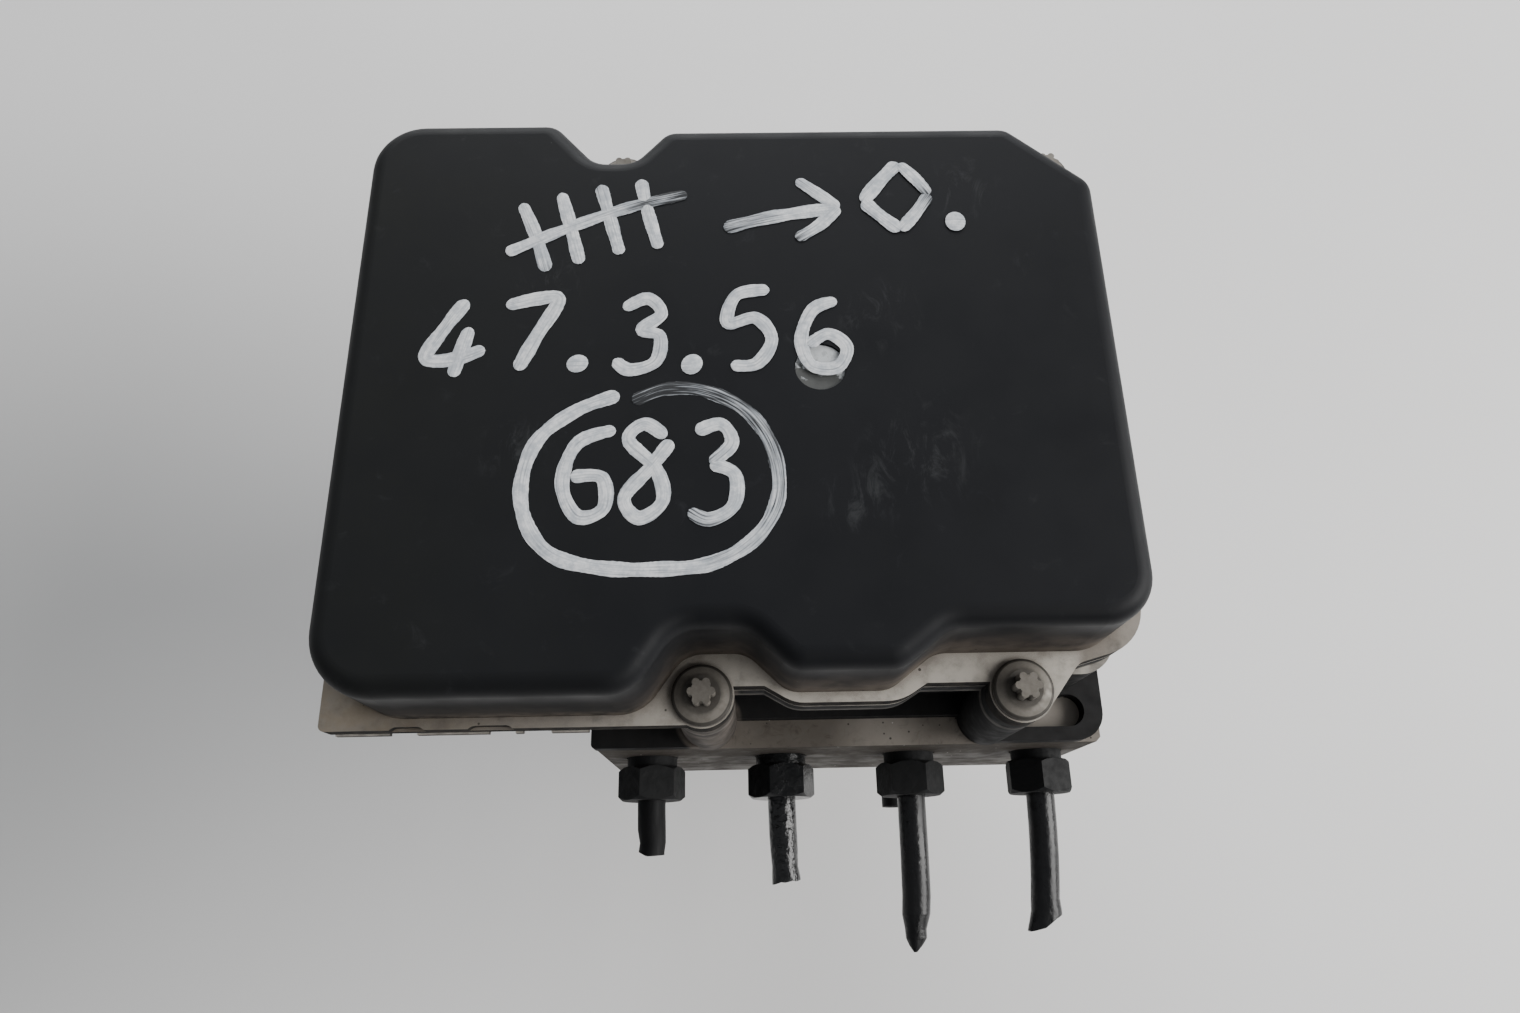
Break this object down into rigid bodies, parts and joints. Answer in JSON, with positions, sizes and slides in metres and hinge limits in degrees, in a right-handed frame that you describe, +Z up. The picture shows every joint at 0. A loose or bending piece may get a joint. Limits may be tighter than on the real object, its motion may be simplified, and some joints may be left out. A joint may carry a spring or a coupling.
{
  "type": "abs brake module",
  "caption": "Anti-lock brake hydraulic unit: black control unit on a drilled aluminium valve block, with the pump motor below and cut brake pipes in front.",
  "frame": {"origin": "centre of the motor's flat end face", "axes": "+Z up the motor's axis to the control unit's cover, -Y to the wheel pipes, -X to the overhang with the plug socket"},
  "size_m": [0.129, 0.1411, 0.1449],
  "materials": {
    "cover_plastic": "satin moulded",
    "housing_plastic": "moulded, dusty",
    "vent_grey": "moulded",
    "seal_rubber": "smooth",
    "board_green": "lacquered",
    "chip_black": "moulded",
    "bare_aluminium": "machined, dusty",
    "contact_brass": "tinned",
    "screw_steel": "zinc, dulled",
    "bright_steel": "ground",
    "coil_steel": "pressed",
    "spring_steel": "drawn",
    "can_steel": "zinc plated",
    "magnet_ferrite": "sintered",
    "copper_wire": "enamelled",
    "brush_carbon": "pressed carbon",
    "pipe_black": "gloss black coat",
    "nut_black": "black coat"
  },
  "bodies": {
    "unit": {"ecu_cover": "cover_plastic", "vent_membrane": "vent_grey", "ecu_housing": "housing_plastic", "ecu_seal": "seal_rubber", "circuit_board": "board_green", "processor_chip": "chip_black", "filter_capacitor": "bare_aluminium", "connector_pins": "contact_brass", "ecu_screws": "screw_steel", "solenoid_coils": "coil_steel", "valve_body_1": "bright_steel", "valve_body_2": "bright_steel", "valve_body_3": "bright_steel", "valve_body_4": "bright_steel", "valve_body_5": "bright_steel", "valve_body_6": "bright_steel", "valve_body_7": "bright_steel", "valve_body_8": "bright_steel", "valve_springs": "spring_steel", "valve_block": "bare_aluminium", "sealing_balls": "bright_steel", "motor_can": "can_steel", "motor_magnets": "magnet_ferrite", "tail_bearing": "bright_steel", "front_bearing": "bright_steel", "brush_plate": "housing_plastic", "brush_spring_1": "spring_steel", "brush_spring_2": "spring_steel", "motor_screws": "screw_steel", "pump_spring_1": "spring_steel", "pump_spring_2": "spring_steel", "pump_plugs": "bright_steel", "accumulator_spring_1": "spring_steel", "accumulator_spring_2": "spring_steel", "accumulator_caps": "bright_steel", "brake_pipe_1": "pipe_black", "brake_pipe_2": "pipe_black", "brake_pipe_3": "pipe_black", "brake_pipe_4": "pipe_black", "inlet_pipe": "pipe_black", "tube_nuts": "nut_black"},
    "motor_rotor": {"rotor_core": "coil_steel", "rotor_winding": "copper_wire", "motor_shaft": "bright_steel", "commutator": "copper_wire", "eccentric_bearing": "bright_steel"},
    "plunger_1": {"valve_plunger_1": "bright_steel"},
    "plunger_2": {"valve_plunger_2": "bright_steel"},
    "plunger_3": {"valve_plunger_3": "bright_steel"},
    "plunger_4": {"valve_plunger_4": "bright_steel"},
    "plunger_5": {"valve_plunger_5": "bright_steel"},
    "plunger_6": {"valve_plunger_6": "bright_steel"},
    "plunger_7": {"valve_plunger_7": "bright_steel"},
    "plunger_8": {"valve_plunger_8": "bright_steel"},
    "piston_1": {"pump_piston_1": "bright_steel"},
    "piston_2": {"pump_piston_2": "bright_steel"},
    "accumulator_1": {"accumulator_piston_1": "bare_aluminium"},
    "accumulator_2": {"accumulator_piston_2": "bare_aluminium"},
    "brush_1": {"brush_1": "brush_carbon"},
    "brush_2": {"brush_2": "brush_carbon"}
  },
  "joints": [
    {"name": "motor_spin", "type": "hinge", "parent": "unit", "child": "motor_rotor", "pos_m": [0, 0, 0.05], "axis": [0, 0, 1], "continuous": true},
    {"name": "valve_1_stroke", "type": "slide", "parent": "unit", "child": "plunger_1", "axis": [0, 0, -1], "range_m": [0, 0.0003], "stiffness_N_per_m": 1500, "deforming": ["valve_springs"]},
    {"name": "valve_2_stroke", "type": "slide", "parent": "unit", "child": "plunger_2", "axis": [0, 0, -1], "range_m": [0, 0.0003], "stiffness_N_per_m": 1500, "deforming": ["valve_springs"]},
    {"name": "valve_3_stroke", "type": "slide", "parent": "unit", "child": "plunger_3", "axis": [0, 0, -1], "range_m": [0, 0.0003], "stiffness_N_per_m": 1500, "deforming": ["valve_springs"]},
    {"name": "valve_4_stroke", "type": "slide", "parent": "unit", "child": "plunger_4", "axis": [0, 0, -1], "range_m": [0, 0.0003], "stiffness_N_per_m": 1500, "deforming": ["valve_springs"]},
    {"name": "valve_5_stroke", "type": "slide", "parent": "unit", "child": "plunger_5", "axis": [0, 0, 1], "range_m": [0, 0.0003], "stiffness_N_per_m": 1500, "deforming": ["valve_springs"]},
    {"name": "valve_6_stroke", "type": "slide", "parent": "unit", "child": "plunger_6", "axis": [0, 0, 1], "range_m": [0, 0.0003], "stiffness_N_per_m": 1500, "deforming": ["valve_springs"]},
    {"name": "valve_7_stroke", "type": "slide", "parent": "unit", "child": "plunger_7", "axis": [0, 0, 1], "range_m": [0, 0.0003], "stiffness_N_per_m": 1500, "deforming": ["valve_springs"]},
    {"name": "valve_8_stroke", "type": "slide", "parent": "unit", "child": "plunger_8", "axis": [0, 0, 1], "range_m": [0, 0.0003], "stiffness_N_per_m": 1500, "deforming": ["valve_springs"]},
    {"name": "pump_1_stroke", "type": "slide", "parent": "unit", "child": "piston_1", "axis": [-1, 0, 0], "range_m": [0, 0.0024], "stiffness_N_per_m": 2500, "deforming": ["pump_spring_1"]},
    {"name": "pump_2_stroke", "type": "slide", "parent": "unit", "child": "piston_2", "axis": [1, 0, 0], "range_m": [0, 0.0024], "stiffness_N_per_m": 2500, "deforming": ["pump_spring_2"]},
    {"name": "accumulator_1_stroke", "type": "slide", "parent": "unit", "child": "accumulator_1", "axis": [0, 1, 0], "range_m": [0, 0.009], "stiffness_N_per_m": 1200, "deforming": ["accumulator_spring_1"]},
    {"name": "accumulator_2_stroke", "type": "slide", "parent": "unit", "child": "accumulator_2", "axis": [0, 1, 0], "range_m": [0, 0.009], "stiffness_N_per_m": 1200, "deforming": ["accumulator_spring_2"]},
    {"name": "brush_1_travel", "type": "slide", "parent": "unit", "child": "brush_1", "axis": [0, -1, 0], "range_m": [0, 0.002], "stiffness_N_per_m": 500, "deforming": ["brush_spring_1"]},
    {"name": "brush_2_travel", "type": "slide", "parent": "unit", "child": "brush_2", "axis": [0, 1, 0], "range_m": [0, 0.002], "stiffness_N_per_m": 500, "deforming": ["brush_spring_2"]}
  ]
}
